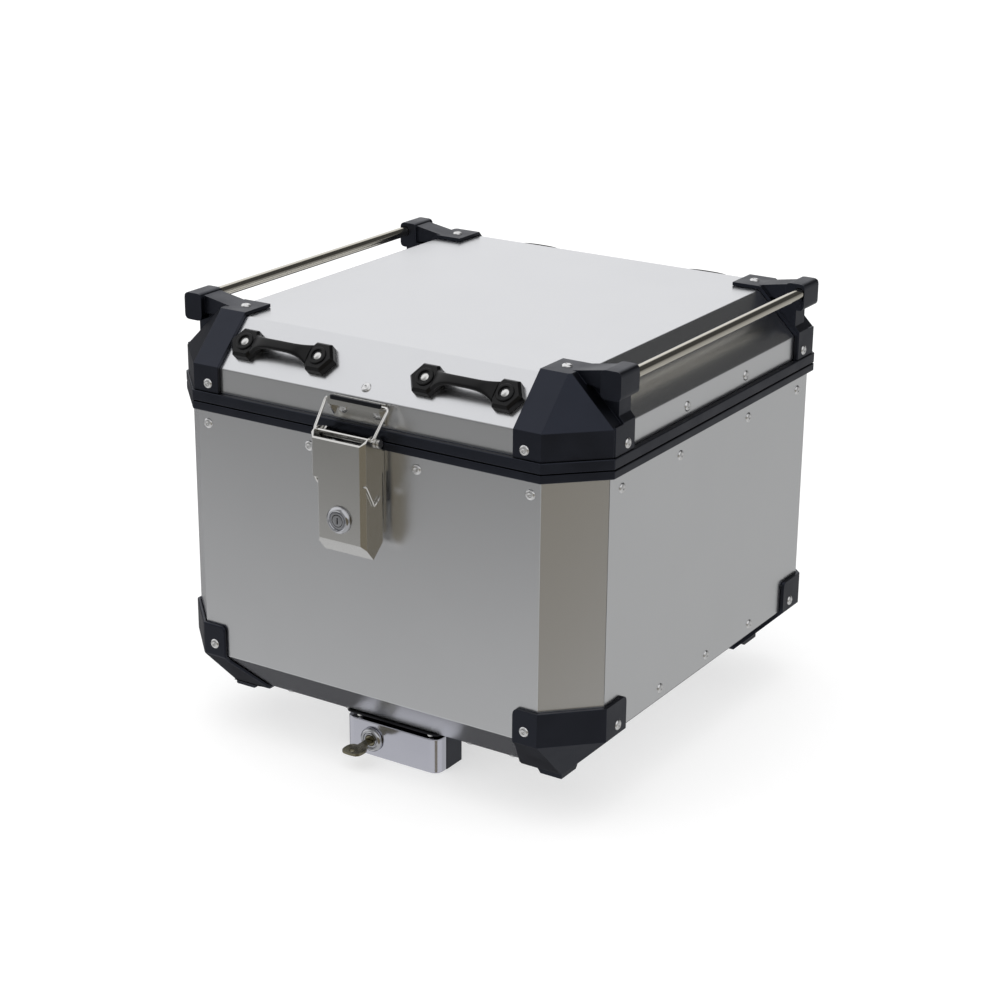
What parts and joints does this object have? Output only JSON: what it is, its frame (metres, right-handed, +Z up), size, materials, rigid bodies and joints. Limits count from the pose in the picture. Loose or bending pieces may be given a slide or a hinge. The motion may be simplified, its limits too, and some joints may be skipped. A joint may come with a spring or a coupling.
{
  "type": "top case",
  "caption": "Boxy aluminium motorcycle top case with black corner protectors, side rails, tie-down loops, a front latch and a keyed release.",
  "frame": {"origin": "centre of the floor's underside", "axes": "+Z up, -Y out of the latch side, +X to the right as one faces the latch"},
  "size_m": [0.444, 0.4961, 0.3976],
  "materials": {
    "aluminium_sheet": "satin rolled sheet, folded, soft reflections",
    "black_moulding": "injection moulded black polyamide, fine matt texture",
    "rubber": "extruded foam rubber seal",
    "polished_stainless": "polished stainless bar",
    "brushed_stainless": "pressed stainless sheet and wire, bright, lightly polished",
    "satin_chrome": "satin chrome on a zinc casting",
    "zinc_steel": "bright zinc plated steel",
    "brass": "machined brass, nickel flashed"
  },
  "bodies": {
    "root": {"front_panel": "aluminium_sheet", "rear_panel": "aluminium_sheet", "side_panel_right": "aluminium_sheet", "side_panel_left": "aluminium_sheet", "floor_pan": "aluminium_sheet", "body_rim": "black_moulding", "base_corner_front_right": "black_moulding", "base_corner_front_left": "black_moulding", "base_corner_rear_left": "black_moulding", "base_corner_rear_right": "black_moulding", "hinge_body_leaf_right": "brushed_stainless", "hinge_pin_right": "zinc_steel", "rack_hook_right": "zinc_steel", "hinge_body_leaf_left": "brushed_stainless", "hinge_pin_left": "zinc_steel", "rack_hook_left": "zinc_steel", "latch_base": "brushed_stainless", "release_plate": "brushed_stainless", "latch_pivot_pin": "zinc_steel", "release_cover": "satin_chrome", "release_lock_barrel": "satin_chrome", "release_block": "black_moulding"},
    "lid": {"lid_skin": "aluminium_sheet", "lid_rim": "black_moulding", "rim_seal": "rubber", "rail_right": "polished_stainless", "rail_left": "polished_stainless", "lid_hook": "brushed_stainless", "hinge_lid_leaf_right": "brushed_stainless", "hinge_lid_leaf_left": "brushed_stainless", "lid_corner_front_right": "black_moulding", "lid_corner_front_left": "black_moulding", "lid_corner_rear_left": "black_moulding", "lid_corner_rear_right": "black_moulding", "tie_loop_front_right": "black_moulding", "tie_loop_front_left": "black_moulding", "tie_loop_rear_right": "black_moulding", "tie_loop_rear_left": "black_moulding", "tie_loop_screw_front_right_outer": "zinc_steel", "tie_loop_screw_front_right_inner": "zinc_steel", "tie_loop_screw_front_left_outer": "zinc_steel", "tie_loop_screw_front_left_inner": "zinc_steel", "tie_loop_screw_rear_right_outer": "zinc_steel", "tie_loop_screw_rear_right_inner": "zinc_steel", "tie_loop_screw_rear_left_outer": "zinc_steel", "tie_loop_screw_rear_left_inner": "zinc_steel"},
    "latch_lever": {"latch_lever": "brushed_stainless", "latch_spring": "zinc_steel", "latch_lock_barrel": "satin_chrome"},
    "latch_bail": {"latch_bail": "brushed_stainless"},
    "latch_lock_core": {"latch_lock_core": "brass"},
    "release_lock_core": {"release_lock_core": "brass"},
    "release_key": {"release_key": "zinc_steel"},
    "release_bolt": {"release_bolt": "zinc_steel"}
  },
  "joints": [
    {"name": "lid_hinge", "type": "hinge", "parent": "root", "child": "lid", "pos_m": [0, 0.233, 0.2786], "axis": [-1, 0, 0], "range_deg": [0, 95]},
    {"name": "latch_lever_pivot", "type": "hinge", "parent": "root", "child": "latch_lever", "pos_m": [0, -0.2345, 0.278], "axis": [-1, 0, 0], "range_deg": [0, 80]},
    {"name": "latch_bail_pivot", "type": "hinge", "parent": "latch_lever", "child": "latch_bail", "pos_m": [0, -0.244, 0.283], "axis": [-1, 0, 0], "range_deg": [-120, 0]},
    {"name": "latch_lock_turn", "type": "hinge", "parent": "latch_lever", "child": "latch_lock_core", "pos_m": [0, -0.2553, 0.2125], "axis": [0, 1, 0], "range_deg": [0, 90]},
    {"name": "release_lock_turn", "type": "hinge", "parent": "root", "child": "release_lock_core", "pos_m": [-0.0205, -0.188, -0.0225], "axis": [0, 1, 0], "range_deg": [0, 90]},
    {"name": "release_bolt_slide", "type": "slide", "parent": "root", "child": "release_bolt", "axis": [0, -1, 0], "range_m": [0, 0.008]},
    {"name": "release_key_slide", "type": "slide", "parent": "release_lock_core", "child": "release_key", "axis": [0, -1, 0], "range_m": [0, 0.036]}
  ],
  "couplings": [
    {"joint": "latch_bail_pivot", "follows": "latch_lever_pivot", "ratio": -1.5},
    {"joint": "release_lock_turn", "follows": "release_bolt_slide", "rad_per_m": 196.3}
  ]
}
